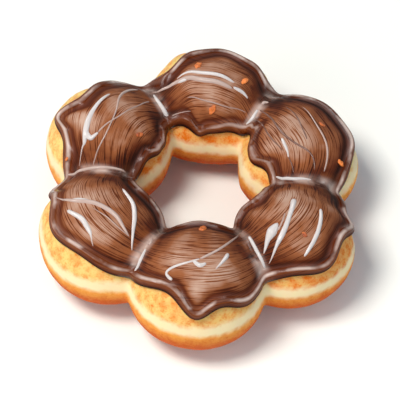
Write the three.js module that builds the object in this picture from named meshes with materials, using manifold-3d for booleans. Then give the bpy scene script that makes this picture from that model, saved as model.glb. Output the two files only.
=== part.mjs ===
// Mochi doughnut: a ring of six balls of fried dough that grew together in the pan, dipped
// top down in chocolate icing, with thicker threads of icing drizzled over the coat.
// Millimetres, +Z up. The ring lies on z = 0, with the middle of its outline on the origin.
import * as THREE from 'three';
import { ParametricGeometry } from 'three/addons/geometries/ParametricGeometry.js';
import { mergeVertices } from 'three/addons/utils/BufferGeometryUtils.js';
import Module from 'manifold-3d';

// Lobes of the ring, uneven as rolled by hand: one size per lobe, from the back lobe round to the left.
const lobeCount = 6;
const backLobeAngle = 90;
const ringRadius = [28.6, 29.2, 28.6, 27.5, 26.8, 26.3];
const lobeHalfDepth = [14.4, 16.4, 15.3, 15.2, 15.2, 15.9];
const lobeHalfWidth = [16.9, 15.8, 16.9, 17.1, 15.5, 16.4];
// Swells and dents on the outside: [ring angle, how far it stands out, half-width in degrees of the ring].
const outerSwells = [
  [31, -1.0, 8.5], [70, 3.4, 5.5], [102, 2.4, 6], [140, 0.8, 7], [191, 1.0, 6.5], [348, -2.1, 4.5],
];
const domeRise = [14.3, 16.1, 14.8, 15.7, 14.8, 12.5];
const waistHeight = 12.2;
const bellyDrop = 12.9; // more than the waist's height, so every lobe rests on a small flat spot

// The crease between two lobes: the least section there as a share of a lobe's own, and how sharply
// the lobes meet, where 1 is a fold. The icing rounds the crease more than the dough does.
const creaseSoftness = 6;
const doughCrease = { neck: 0.49, sharpness: 0.989 };
const icingCrease = { neck: 0.51, sharpness: 0.983 };

// Icing coat: its thickness over the dough, the rolled bead along both of its edges with a shallow
// groove behind it, and the pool of icing that half fills each crease.
const icingGap = 0.35;
const coatThickness = 1.1;
const edgeThickness = 0.6;
const edgeRounding = 0.8;
const beadRise = 1.0;
const beadInset = 1.5;
const beadSpread = 1.2;
const grooveDepth = 0.45;
const grooveInset = 3.5;
const grooveSpread = 1.0;
const poolDepth = 0.8;
const poolSpread = 2.0;
const poolInset = 5;

// Edges of the icing, in degrees up from the waist: 0 is the outside, 90 the top, 180 the hole.
// A drip is [ring angle, degrees that it ran down, half-width in degrees of the ring].
const outerEdgeHigh = 54;
const outerDrips = [
  [25, 24, 16.5], [45, 13, 12], [59, 26, 7], [84, 13, 10], [107, -13, 9], [120, 20, 5.5],
  [128, 16, 7], [148, -7, 8], [158, 16, 6], [181, 27, 9], [189, 7, 4], [207, 15, 12.5],
  [237, 14, 15.5], [270, 23, 7.5], [289, 21, 11.5], [302, 9, 10], [322, 24, 12.5], [343, 23, 8],
  [359, 26, 11.5],
];
const innerEdgeMean = 140;
const innerEdgeSwing = 6; // lower on each lobe, higher at each crease
const innerDrips = [
  [13, -6, 11], [33, -4, 12], [54, -10, 5.5], [77, 5, 16.5], [100, 9, 9], [132, 9, 8.5],
  [146, 5, 11], [177, 11, 13], [232, 17, 17.5], [307, 20, 12.5], [322, 7, 9], [334, -5, 15],
];

// Drizzled threads: their radius, and their route in [ring angle, degrees up from the waist].
const threadSink = 0.3; // depth of the axis below the coat's skin, as a share of the radius
const threadFloor = 0.6; // height above the dough at which a thread's hidden underside stops
const threadSides = 6;
const threadSteps = 12;
const threads = [
  { radius: 0.75, route: [[141, 80], [152, 80], [165, 77], [177, 62]] },
  { radius: 0.7, route: [[115, 84], [104, 94], [93, 96], [82, 99], [70, 98]] },
  { radius: 0.5, route: [[106, 87], [95, 89], [85, 90], [77, 92]] },
  { radius: 0.5, route: [[120, 78], [120, 90], [120, 101], [119, 112]] },
  { radius: 0.6, route: [[197, 61], [204, 80], [211, 91], [222, 96], [231, 89]] },
  { radius: 0.65, route: [[204, 62], [211, 70], [218, 68], [223, 60]] },
  { radius: 0.65, route: [[200, 117], [214, 119], [227, 105], [236, 76]] },
  { radius: 0.5, route: [[298, 112], [283, 96], [271, 84], [259, 74], [260, 62]] },
  { radius: 0.5, route: [[303, 102], [302, 86], [302, 73], [302, 58]] },
  { radius: 0.75, route: [[338, 98], [329, 94], [316, 83], [304, 61]] },
  { radius: 0.9, route: [[319, 95], [314, 92], [309, 86], [304, 74]] },
  { radius: 0.55, route: [[339, 72], [330, 65], [322, 59], [317, 54]] },
  { radius: 0.5, route: [[365, 117], [363, 106], [362, 92], [362, 76]] },
];

// Fineness of the surfaces.
const ringSteps = 108;
const doughSteps = 22;
const coatSteps = 18;
const undersideSteps = 8;
const slopeStep = 0.01; // ring angle, in radians, over which the slope of an edge is taken

const fullTurn = 2 * Math.PI;
const lobeStep = fullTurn / lobeCount;
const radians = THREE.MathUtils.degToRad;
const degrees = THREE.MathUtils.radToDeg;

// A size at any ring angle: exact in the middle of each lobe, eased from lobe to lobe.
function sizeAt(angle, sizes) {
  const turn = THREE.MathUtils.euclideanModulo((angle - radians(backLobeAngle)) / lobeStep, lobeCount);
  const lobe = Math.floor(turn);
  const ease = THREE.MathUtils.smoothstep(turn - lobe, 0, 1);
  return THREE.MathUtils.lerp(sizes[lobe], sizes[(lobe + 1) % lobeCount], ease);
}

// The ring angle from the middle of the nearest lobe, eased in the middle and at the crease.
function offMiddle(angle, sharpness) {
  return Math.acos(sharpness * Math.cos(lobeCount * (angle - radians(backLobeAngle)))) / lobeCount;
}

// A round swell: 1 at its middle, and less with the distance from it.
function swell(distance, spread) {
  return Math.exp(-((distance / spread) ** 2));
}

// The sum of a list of swells at one ring angle.
function swellsAt(angle, swells) {
  return swells.reduce((sum, [at, height, spread]) => {
    const away = THREE.MathUtils.euclideanModulo(degrees(angle) - at + 180, 360) - 180;
    return sum + height * swell(away, spread);
  }, 0);
}

// The ring cut by the upright plane at one ring angle: a slice of the lobe's ellipsoid, with its
// centre's distance from the axis, its half-depth, and its size as a share of the lobe's own.
// A swell widens the slice and moves it out by the same half, so the hole keeps its shape.
function ringSection(angle, { neck, sharpness }) {
  const off = offMiddle(angle, sharpness);
  const halfSwell = swellsAt(angle, outerSwells) / 2;
  const radius = sizeAt(angle, ringRadius) + halfSwell;
  const depth = sizeAt(angle, lobeHalfDepth) + halfSwell;
  const width = sizeAt(angle, lobeHalfWidth);
  const steepness = (Math.cos(off) / depth) ** 2 + (Math.sin(off) / width) ** 2;
  const pull = (radius * Math.cos(off)) / depth ** 2;
  const slice = Math.sqrt(Math.max(1 - (radius / depth) ** 2 + pull ** 2 / steepness, 0));
  const softened = (slice ** creaseSoftness + neck ** creaseSoftness) / (1 + neck ** creaseSoftness);
  const share = softened ** (1 / creaseSoftness);
  return { centre: pull / steepness, halfDepth: share / Math.sqrt(steepness), share };
}

// A point of the ring: tilt turns round the section from the outside, lift is its height above the skin.
function ringPoint(angle, tilt, crease, lift, target) {
  const { centre, halfDepth, share } = ringSection(angle, crease);
  const rise = share * (Math.sin(tilt) >= 0 ? sizeAt(angle, domeRise) : bellyDrop);
  const radius = centre + (halfDepth + lift) * Math.cos(tilt);
  const height = Math.max(waistHeight + (rise + lift) * Math.sin(tilt), 0);
  return target.set(radius * Math.cos(angle), radius * Math.sin(angle), height);
}

function outerEdge(angle) {
  return radians(outerEdgeHigh - swellsAt(angle, outerDrips));
}

function innerEdge(angle) {
  const swing = innerEdgeSwing * Math.cos(lobeCount * (angle - radians(backLobeAngle)));
  return radians(innerEdgeMean + swing + swellsAt(angle, innerDrips));
}

// Distance up from one edge of the icing, less where the edge itself runs aslant.
function pastEdge(angle, tilt, edge, { centre, halfDepth }) {
  const edgeTilt = edge(angle);
  const climb = (edge(angle + slopeStep) - edge(angle - slopeStep)) / (2 * slopeStep);
  const slope = (halfDepth * climb) / (centre + halfDepth * Math.cos(edgeTilt));
  return (halfDepth * (tilt - edgeTilt)) / Math.hypot(1, slope);
}

// Thickness of the coat at one place: blunt at the edge, then the bead, the groove and the even coat,
// which is deeper where it pools in a crease.
function coatLift(angle, tilt) {
  const section = ringSection(angle, icingCrease);
  const fromOuter = pastEdge(angle, tilt, outerEdge, section);
  const fromInner = -pastEdge(angle, tilt, innerEdge, section);
  const inset = Math.max(Math.min(fromOuter, fromInner), 0);
  const fromCrease = section.centre * (lobeStep / 2 - offMiddle(angle, 1));
  const bead = beadRise * swell(inset - beadInset, beadSpread);
  const groove = grooveDepth * swell(inset - grooveInset, grooveSpread);
  const pool = poolDepth * swell(fromCrease, poolSpread) * THREE.MathUtils.smoothstep(inset, 0, poolInset);
  const short = Math.max(1 - inset / edgeRounding, 0);
  return THREE.MathUtils.lerp(edgeThickness, coatThickness + bead - groove + pool, Math.sqrt(1 - short ** 2));
}

// The whole ring, as dough or grown by a lift.
function ringGeometry(lift) {
  const fromBelow = -Math.PI / 2;
  return new ParametricGeometry((u, v, target) => {
    ringPoint(u * fullTurn, fromBelow + v * fullTurn, doughCrease, lift, target);
  }, ringSteps, doughSteps);
}

// The icing's section runs from its outer edge over the top to its inner edge, where the samples are
// closer together at the beads, and then back along its underside.
function icingPoint(u, v, target) {
  const angle = u * fullTurn;
  const sample = (v * (coatSteps + undersideSteps)) % (coatSteps + undersideSteps);
  if (sample <= coatSteps) {
    const across = (1 - Math.cos((Math.PI * sample) / coatSteps)) / 2;
    const tilt = THREE.MathUtils.lerp(outerEdge(angle), innerEdge(angle), across);
    return ringPoint(angle, tilt, icingCrease, coatLift(angle, tilt), target);
  }
  const back = (sample - coatSteps - 0.5) / (undersideSteps - 1);
  const tilt = THREE.MathUtils.lerp(innerEdge(angle), outerEdge(angle), THREE.MathUtils.clamp(back, 0, 1));
  return ringPoint(angle, tilt, doughCrease, icingGap, target);
}

// A drizzled thread: a round string of icing half sunk in the coat, both of its ends running into it.
function threadGeometry({ radius, route }) {
  const flatRoute = new THREE.SplineCurve(route.map(([angle, tilt]) => new THREE.Vector2(angle, tilt)));
  const places = flatRoute.getPoints(threadSteps);
  const path = places.map((place, step) => {
    const angle = radians(place.x);
    const tilt = radians(place.y);
    const atEnd = step === 0 || step === threadSteps;
    const lift = coatLift(angle, tilt) - radius * (atEnd ? 1 : threadSink);
    return ringPoint(angle, tilt, icingCrease, lift, new THREE.Vector3());
  });
  const corners = Array.from({ length: threadSides }, (_, side) => {
    const turn = (side * fullTurn) / threadSides;
    return new THREE.Vector2(radius * Math.cos(turn), radius * Math.sin(turn));
  });
  return new THREE.ExtrudeGeometry(new THREE.Shape(corners), {
    extrudePath: new THREE.CatmullRomCurve3(path),
    steps: threadSteps,
    bevelEnabled: false,
  });
}

// Only the shape is kept, with one vertex at each place, so that a surface that meets itself closes.
function closedShape(geometry) {
  geometry.deleteAttribute('normal');
  geometry.deleteAttribute('uv');
  return mergeVertices(geometry);
}

const wasm = await Module();
wasm.setup();

function toSolid(geometry) {
  const shape = closedShape(geometry);
  return new wasm.Manifold(new wasm.Mesh({
    numProp: 3,
    vertProperties: new Float32Array(shape.attributes.position.array),
    triVerts: new Uint32Array(shape.index.array),
  }));
}

function toGeometry(solid) {
  const { vertProperties, triVerts } = solid.getMesh();
  const geometry = new THREE.BufferGeometry();
  geometry.setAttribute('position', new THREE.BufferAttribute(vertProperties, 3));
  geometry.setIndex(new THREE.BufferAttribute(triVerts, 1));
  return geometry;
}

function namedMesh(name, geometry, look) {
  geometry.computeVertexNormals();
  const mesh = new THREE.Mesh(geometry, new THREE.MeshStandardMaterial({ metalness: 0, ...look }));
  mesh.name = name;
  return mesh;
}

const doughShape = closedShape(ringGeometry(0));
const underThreads = toSolid(ringGeometry(threadFloor));
const coat = toSolid(new ParametricGeometry(icingPoint, ringSteps, coatSteps + undersideSteps));
const icing = threads.reduce((solid, thread) => {
  const string = toSolid(threadGeometry(thread)).subtract(underThreads);
  return solid.add(string);
}, coat);

const doughnut = new THREE.Group();
doughnut.add(
  namedMesh('dough_ring', doughShape, { color: 0xe3a045, roughness: 0.75 }),
  namedMesh('chocolate_icing', toGeometry(icing), { color: 0x6b4230, roughness: 0.3 }),
);

const middle = new THREE.Box3().setFromObject(doughnut).getCenter(new THREE.Vector3());
doughnut.position.set(-middle.x, -middle.y, 0);

export default doughnut;
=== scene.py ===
import math

import bpy
from mathutils import Matrix, Vector


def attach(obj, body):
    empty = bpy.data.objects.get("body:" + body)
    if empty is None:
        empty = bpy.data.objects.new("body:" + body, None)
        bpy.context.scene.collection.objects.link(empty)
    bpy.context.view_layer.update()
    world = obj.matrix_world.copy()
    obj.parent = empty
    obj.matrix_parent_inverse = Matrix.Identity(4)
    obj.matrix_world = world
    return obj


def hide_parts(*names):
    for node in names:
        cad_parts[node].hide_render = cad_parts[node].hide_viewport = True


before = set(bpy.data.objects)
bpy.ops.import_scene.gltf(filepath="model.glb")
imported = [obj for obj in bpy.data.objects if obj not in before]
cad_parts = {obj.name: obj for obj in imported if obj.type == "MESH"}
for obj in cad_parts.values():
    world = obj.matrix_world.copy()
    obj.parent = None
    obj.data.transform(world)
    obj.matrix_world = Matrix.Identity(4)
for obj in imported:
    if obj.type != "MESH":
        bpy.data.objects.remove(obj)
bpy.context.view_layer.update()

# Dough ring
# Six balls of rice-flour dough set in a ring, which swell into each other while they fry.
# The crust browns above and below a pale band where the ring floats at the oil's surface.

# Sizes are in millimetres. A list has one value for each lobe, from the back one anticlockwise.
MM = 0.001
LOBES = 6
LOBE_STEP = math.tau / LOBES
BACK_LOBE = math.pi / 2
RING_CENTRE = (1.381, -0.466, 0.0)
RING_RADIUS = (28.6, 29.2, 28.6, 27.5, 26.8, 26.3)
LOBE_HALF_DEPTH = (14.4, 16.4, 15.3, 15.2, 15.2, 15.9)
LOBE_HALF_WIDTH = (16.9, 15.8, 16.9, 17.1, 15.5, 16.4)
OUTER_SWELLS = (
    # ring angle, millimetres that the outside stands out, half-width in degrees
    (31, -1.0, 8.5), (70, 3.4, 5.5), (102, 2.4, 6.0), (140, 0.8, 7.0), (191, 1.0, 6.5), (348, -2.1, 4.5),
)
DOME_RISE = (14.3, 16.1, 14.8, 15.7, 14.8, 12.5)
FLOAT_LEVEL = (14.4, 15.8, 15.8, 16.0, 14.6, 16.2)
# Each lobe's share of brown: partly real browning and partly painted shade, deeper on the lobes that lie in
# shade.
LOBE_BROWNING_AND_SHADE = (0.1, 0.0, 0.1, 0.25, 0.65, -0.4)
# Painted shade: the side of the hole is coloured browner where it lies in shadow.
HOLE_SIDE_SHADING = 0.6
HOLE_LEAN = -0.6  # cosine of the tilt past which the side of the hole is fully browned
WAIST_HEIGHT = 12.2
BELLY_DROP = 12.9
DOUGH_NECK = 0.49  # least size of a slice in a crease, as a share of the lobe
DOUGH_SHARPNESS = 0.989  # 1 would leave the creases sharp
CREASE_SOFTNESS = 6.0
DOUGH_RING_STEPS = 480
DOUGH_SECTION_STEPS = 168
CRUST_SWELL = 0.35
CRUST_SWELL_SIZE = 9.0
CRUST_GRAIN = 0.10
CRUST_GRAIN_SIZE = 1.7
DOUGH_WELD = 0.01
FLOOR_LIMIT = (-1.0, -1.0, 0.0)  # in metres, far enough out to hold back the height alone

MATH = "ShaderNodeMath"
VECTOR_MATH = "ShaderNodeVectorMath"
MAP_RANGE = "ShaderNodeMapRange"
MIX = "ShaderNodeMix"
NOISE = "ShaderNodeTexNoise"
SMOOTH = {"interpolation_type": "SMOOTHSTEP"}
GROUP = "GeometryNodeGroup"
STORE = "GeometryNodeStoreNamedAttribute"
POSITION = "GeometryNodeInputPosition"
SET_POSITION = "GeometryNodeSetPosition"


def add(tree, kind, inputs=(), **settings):
    """Adds a node with its settings, and sets or links its inputs by their places or names."""
    node = tree.nodes.new(kind)
    for name, value in settings.items():
        setattr(node, name, value)
    pairs = inputs.items() if isinstance(inputs, dict) else enumerate(inputs)
    for socket, source in pairs:
        if isinstance(source, bpy.types.Node):
            source = source.outputs[0]
        if isinstance(source, bpy.types.NodeSocket):
            tree.links.new(source, node.inputs[socket])
        else:
            node.inputs[socket].default_value = source
    return node


def start_tree(name, takes, gives):
    """A new tree of geometry nodes with named inputs and outputs, and the sockets of its inputs."""
    tree = bpy.data.node_groups.new(name, "GeometryNodeTree")
    for direction, sockets in (("INPUT", takes), ("OUTPUT", gives)):
        for socket, kind in sockets.items():
            tree.interface.new_socket(socket, in_out=direction, socket_type="NodeSocket" + kind)
    return tree, tree.nodes.new("NodeGroupInput").outputs


def finish_piece(name, tree, values, start=None):
    """Runs a tree on a start mesh with its inputs set, and keeps the result as a plain mesh."""
    piece = bpy.data.objects.new(name, start or bpy.data.meshes.new(name))
    bpy.context.scene.collection.objects.link(piece)
    modifier = piece.modifiers.new("shape", "NODES")
    modifier.node_group = tree
    for socket in tree.interface.items_tree:
        if socket.in_out == "INPUT" and socket.name in values:
            modifier[socket.identifier] = values[socket.name]
    evaluated = piece.evaluated_get(bpy.context.evaluated_depsgraph_get())
    mesh = bpy.data.meshes.new_from_object(evaluated)
    piece.modifiers.remove(modifier)
    piece.data = mesh
    mesh.name = name
    return piece


def sum_swells(tree, ring_angle, swells):
    """Adds up round swells along the ring: ring angle, height and half-width, angles in degrees."""
    total = 0.0
    for swell_angle, swell_height, swell_spread in swells:
        turned = add(tree, MATH, [ring_angle, math.radians(swell_angle)], operation="SUBTRACT")
        away = add(tree, MATH, [turned, math.pi, -math.pi], operation="WRAP")
        spreads = add(tree, MATH, [away, math.radians(swell_spread)], operation="DIVIDE")
        squared = add(tree, MATH, [spreads, spreads], operation="MULTIPLY")
        fading = add(tree, MATH, [squared, -1.0], operation="MULTIPLY")
        fade = add(tree, MATH, [fading], operation="EXPONENT")
        total = add(tree, MATH, [fade, swell_height, total], operation="MULTIPLY_ADD")
    return total


# The section of the ring at one ring angle: a slice of the lobe's ellipsoid, softened at the creases.
# A swell widens the slice and moves it out by the same half, so the hole keeps its shape.
ring_section, given = start_tree(
    "ring section",
    {"Ring angle": "Float", "Neck": "Float", "Sharpness": "Float"},
    {"Centre": "Float", "Half depth": "Float", "Rise": "Float", "Share": "Float", "From crease": "Float",
     "Float level": "Float", "Browning": "Float"},
)
shares = []
for lobe in range(LOBES):
    lobe_angle = BACK_LOBE + lobe * LOBE_STEP
    turned = add(ring_section, MATH, [given["Ring angle"], lobe_angle], operation="SUBTRACT")
    wrapped = add(ring_section, MATH, [turned, math.pi, -math.pi], operation="WRAP")
    away = add(ring_section, MATH, [wrapped], operation="ABSOLUTE")
    shares.append(add(ring_section, MAP_RANGE, [away, 0.0, LOBE_STEP, 1.0, 0.0], **SMOOTH))
first_lobes = add(ring_section, "ShaderNodeCombineXYZ", shares[:3])
last_lobes = add(ring_section, "ShaderNodeCombineXYZ", shares[3:])
size_here = {}
for size, values in {
    "radius": RING_RADIUS,
    "depth": LOBE_HALF_DEPTH,
    "width": LOBE_HALF_WIDTH,
    "rise": DOME_RISE,
    "level": FLOAT_LEVEL,
    "browning": LOBE_BROWNING_AND_SHADE,
}.items():
    first = add(ring_section, VECTOR_MATH, [first_lobes, values[:3]], operation="DOT_PRODUCT")
    last = add(ring_section, VECTOR_MATH, [last_lobes, values[3:]], operation="DOT_PRODUCT")
    parts = [first.outputs["Value"], last.outputs["Value"]]
    size_here[size] = add(ring_section, MATH, parts, operation="ADD")
swell = sum_swells(ring_section, given["Ring angle"], OUTER_SWELLS)
for size in ("radius", "depth"):
    size_here[size] = add(ring_section, MATH, [swell, 0.5, size_here[size]], operation="MULTIPLY_ADD")
from_back = add(ring_section, MATH, [given["Ring angle"], BACK_LOBE], operation="SUBTRACT")
lobe_turn = add(ring_section, MATH, [from_back, LOBES], operation="MULTIPLY")
lobe_wave = add(ring_section, MATH, [lobe_turn], operation="COSINE")
eased_wave = add(ring_section, MATH, [lobe_wave, given["Sharpness"]], operation="MULTIPLY")
eased_turn = add(ring_section, MATH, [eased_wave], operation="ARCCOSINE")
off_middle = add(ring_section, MATH, [eased_turn, LOBES], operation="DIVIDE")
cosine = add(ring_section, MATH, [off_middle], operation="COSINE")
sine = add(ring_section, MATH, [off_middle], operation="SINE")
along = add(ring_section, MATH, [cosine, size_here["depth"]], operation="DIVIDE")
across = add(ring_section, MATH, [sine, size_here["width"]], operation="DIVIDE")
along_squared = add(ring_section, MATH, [along, along], operation="MULTIPLY")
steepness = add(ring_section, MATH, [across, across, along_squared], operation="MULTIPLY_ADD")
stretch = add(ring_section, MATH, [size_here["radius"], size_here["depth"]], operation="DIVIDE")
pull = add(ring_section, MATH, [along, stretch], operation="MULTIPLY")
centre = add(ring_section, MATH, [pull, steepness], operation="DIVIDE")
pulled = add(ring_section, MATH, [pull, centre, 1.0], operation="MULTIPLY_ADD")
stretch_squared = add(ring_section, MATH, [stretch, stretch], operation="MULTIPLY")
slice_squared = add(ring_section, MATH, [pulled, stretch_squared], operation="SUBTRACT")
slice_kept = add(ring_section, MATH, [slice_squared, 0.0], operation="MAXIMUM")
slice_power = add(ring_section, MATH, [slice_kept, CREASE_SOFTNESS / 2], operation="POWER")
neck_power = add(ring_section, MATH, [given["Neck"], CREASE_SOFTNESS], operation="POWER")
powers = add(ring_section, MATH, [slice_power, neck_power], operation="ADD")
most = add(ring_section, MATH, [neck_power, 1.0], operation="ADD")
softened = add(ring_section, MATH, [powers, most], operation="DIVIDE")
share = add(ring_section, MATH, [softened, 1 / CREASE_SOFTNESS], operation="POWER")
inverse_root = add(ring_section, MATH, [steepness], operation="INVERSE_SQRT")
sharp_turn = add(ring_section, MATH, [lobe_wave], operation="ARCCOSINE")
crease_turn = add(ring_section, MAP_RANGE, [sharp_turn, 0.0, math.pi, LOBE_STEP / 2, 0.0])
add(ring_section, "NodeGroupOutput", {
    "Centre": centre,
    "Half depth": add(ring_section, MATH, [share, inverse_root], operation="MULTIPLY"),
    "Rise": size_here["rise"],
    "Share": share,
    "From crease": add(ring_section, MATH, [crease_turn, centre], operation="MULTIPLY"),
    "Float level": size_here["level"],
    "Browning": size_here["browning"],
})

# A point of the ring: tilt turns round the section from the outside, lift is its height above the skin.
ring_point, given = start_tree(
    "ring point",
    {"Ring angle": "Float", "Tilt": "Float", "Neck": "Float", "Sharpness": "Float", "Lift": "Float"},
    {"Position": "Vector"},
)
section = add(ring_point, GROUP, [given["Ring angle"], given["Neck"], given["Sharpness"]],
              node_tree=ring_section).outputs
tilt_sine = add(ring_point, MATH, [given["Tilt"]], operation="SINE")
tilt_cosine = add(ring_point, MATH, [given["Tilt"]], operation="COSINE")
above = add(ring_point, MATH, [tilt_sine, 0.0], operation="GREATER_THAN")
full_rise = add(ring_point, MIX, {0: above, 2: BELLY_DROP, 3: section["Rise"]}, data_type="FLOAT")
rise = add(ring_point, MATH, [full_rise, section["Share"], given["Lift"]], operation="MULTIPLY_ADD")
reach = add(ring_point, MATH, [section["Half depth"], given["Lift"]], operation="ADD")
radius = add(ring_point, MATH, [reach, tilt_cosine, section["Centre"]], operation="MULTIPLY_ADD")
height = add(ring_point, MATH, [rise, tilt_sine, WAIST_HEIGHT], operation="MULTIPLY_ADD")
turn_cosine = add(ring_point, MATH, [given["Ring angle"]], operation="COSINE")
turn_sine = add(ring_point, MATH, [given["Ring angle"]], operation="SINE")
from_axis = add(ring_point, "ShaderNodeCombineXYZ", [
    add(ring_point, MATH, [radius, turn_cosine], operation="MULTIPLY"),
    add(ring_point, MATH, [radius, turn_sine], operation="MULTIPLY"),
    add(ring_point, MATH, [height, 0.0], operation="MAXIMUM"),
])
in_place = add(ring_point, VECTOR_MATH, [from_axis, RING_CENTRE], operation="ADD")
add(ring_point, "NodeGroupOutput", [
    add(ring_point, VECTOR_MATH, {0: in_place, "Scale": MM}, operation="SCALE"),
])

# The ring is a flat grid of ring angle by tilt, wrapped round the section and closed where its edges meet.
dough_tree, given = start_tree(
    "dough ring",
    {"Ring steps": "Int", "Section steps": "Int", "Swell": "Float", "Grain": "Float",
     "Material": "Material"},
    {"Geometry": "Geometry"},
)
grid = add(dough_tree, "GeometryNodeMeshGrid", {
    "Size X": math.tau,
    "Size Y": math.tau,
    "Vertices X": given["Ring steps"],
    "Vertices Y": given["Section steps"],
})
flat = add(dough_tree, "ShaderNodeSeparateXYZ", [add(dough_tree, POSITION)])
skin = add(dough_tree, GROUP, [flat.outputs["X"], flat.outputs["Y"], DOUGH_NECK, DOUGH_SHARPNESS, 0.0],
           node_tree=ring_point)
section = add(dough_tree, GROUP, [flat.outputs["X"], DOUGH_NECK, DOUGH_SHARPNESS],
              node_tree=ring_section).outputs
levelled = add(dough_tree, STORE, {
    "Geometry": grid, "Name": "level", "Value": section["Float level"],
}, data_type="FLOAT", domain="POINT")
# Painted shade: browner towards the side of the hole.
lean = add(dough_tree, MATH, [flat.outputs["Y"]], operation="COSINE")
hole_side_shading = add(dough_tree, MAP_RANGE, [lean, 0.0, HOLE_LEAN, 0.0, HOLE_SIDE_SHADING], **SMOOTH)
fried = add(dough_tree, STORE, {
    "Geometry": levelled,
    "Name": "browning",
    "Value": add(dough_tree, MATH, [section["Browning"], hole_side_shading], operation="ADD"),
}, data_type="FLOAT", domain="POINT")
wrapped = add(dough_tree, SET_POSITION, {"Geometry": fried, "Position": skin})
closed = add(dough_tree, "GeometryNodeMergeByDistance", {"Geometry": wrapped, "Distance": DOUGH_WELD * MM})
place = add(dough_tree, POSITION)
relief = None
for bump_size, bump_height in ((CRUST_SWELL_SIZE, given["Swell"]), (CRUST_GRAIN_SIZE, given["Grain"])):
    bumps = add(dough_tree, NOISE, {"Vector": place, "Scale": 1 / (bump_size * MM), "Detail": 2.0})
    centred = add(dough_tree, MATH, [bumps, 0.5], operation="SUBTRACT")
    relief = add(dough_tree, MATH, [centred, bump_height, relief or 0.0], operation="MULTIPLY_ADD")
outward = add(dough_tree, VECTOR_MATH, {
    0: add(dough_tree, "GeometryNodeInputNormal"),
    "Scale": add(dough_tree, MATH, [relief, MM], operation="MULTIPLY"),
}, operation="SCALE")
rough = add(dough_tree, SET_POSITION, {"Geometry": closed, "Offset": outward})
on_floor = add(dough_tree, VECTOR_MATH, [place, FLOOR_LIMIT], operation="MAXIMUM")
rested = add(dough_tree, SET_POSITION, {"Geometry": rough, "Position": on_floor})
smooth = add(dough_tree, "GeometryNodeSetShadeSmooth", {"Geometry": rested})
real = add(dough_tree, "GeometryNodeRealizeInstances", [smooth])
add(dough_tree, "NodeGroupOutput", [
    add(dough_tree, "GeometryNodeSetMaterial", {"Geometry": real, "Material": given["Material"]}),
])


def linear(hex_colour):
    """An sRGB hex colour as linear light with full alpha."""
    channels = [int(hex_colour[place:place + 2], 16) / 255 for place in (1, 3, 5)]
    return [c / 12.92 if c <= 0.04045 else ((c + 0.055) / 1.055) ** 2.4 for c in channels] + [1.0]


def start_material(name):
    """A new empty node material and its tree."""
    material = bpy.data.materials.new(name)
    material.use_nodes = True
    material.node_tree.nodes.clear()
    return material, material.node_tree


# Fried dough crust: dry and matt with a faint oil sheen. It is golden above the band, cream in it, where the
# hot oil hardly reached, and browner below it. Round the hole it is painted browner as shade, and the lobes
# that lie in shade are painted browner too. The band wanders and its edge is ragged.
BAND_HALF_WIDTH = 0.5
BAND_FADE = 2.0
BAND_WANDER = 2.2
BAND_WANDER_SIZE = 11.0
BAND_RAGGEDNESS = 1.8
UPPER_GOLD = "#E4C478"
UPPER_AMBER = "#DA6C10"
BAND_CREAM = "#EBD5AA"
LOWER_GOLD = "#EBA448"
LOWER_BROWN = "#C4560E"
AMBER_PATCH_SIZE = 2.0
CRUST_PORE_SIZE = 0.55
PORE_DEPTH = 0.1
PATCH_TOASTING = 0.5
PORE_TOASTING = 0.3
LOBE_TOASTING_AND_SHADE = 0.7
UNDERSIDE_TOASTING = 0.55
UNDERSIDE_FROM = -2.0  # heights from the band between which the crust turns brown
UNDERSIDE_TO = -7.0

fried_dough, tree = start_material("fried_dough_crust")
coords = add(tree, "ShaderNodeTexCoord")
crust_place = add(tree, VECTOR_MATH, {0: coords.outputs["Object"], "Scale": 1 / MM}, operation="SCALE")
crust_height = add(tree, "ShaderNodeSeparateXYZ", [crust_place]).outputs["Z"]
wander = add(tree, NOISE, {"Vector": crust_place, "Scale": 1 / BAND_WANDER_SIZE, "Detail": 3.0})
wandered = add(tree, MATH, [wander, 0.5], operation="SUBTRACT")
band_level = add(tree, MATH, [wandered, BAND_WANDER, crust_height], operation="MULTIPLY_ADD")
level = add(tree, "ShaderNodeAttribute", attribute_name="level").outputs["Fac"]
off_band = add(tree, MATH, [band_level, level], operation="SUBTRACT")
band_distance = add(tree, MATH, [off_band], operation="ABSOLUTE")
band_end = BAND_HALF_WIDTH + BAND_FADE
patches = add(tree, NOISE, {"Vector": crust_place, "Scale": 1 / AMBER_PATCH_SIZE, "Detail": 4.0})
raggedness = add(tree, MATH, [patches, 0.5], operation="SUBTRACT")
ragged = add(tree, MATH, [raggedness, BAND_RAGGEDNESS, band_distance], operation="MULTIPLY_ADD")
in_band = add(tree, MAP_RANGE, [ragged, BAND_HALF_WIDTH, band_end, 1.0, 0.0], **SMOOTH)
pores = add(tree, NOISE, {"Vector": crust_place, "Scale": 1 / CRUST_PORE_SIZE, "Detail": 3.0})
pore_share = add(tree, MAP_RANGE, [pores, 0.5, 0.68, 0.0, PORE_TOASTING])
patch_share = add(tree, MAP_RANGE, [patches, 0.42, 0.66, 0.0, PATCH_TOASTING])
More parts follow.
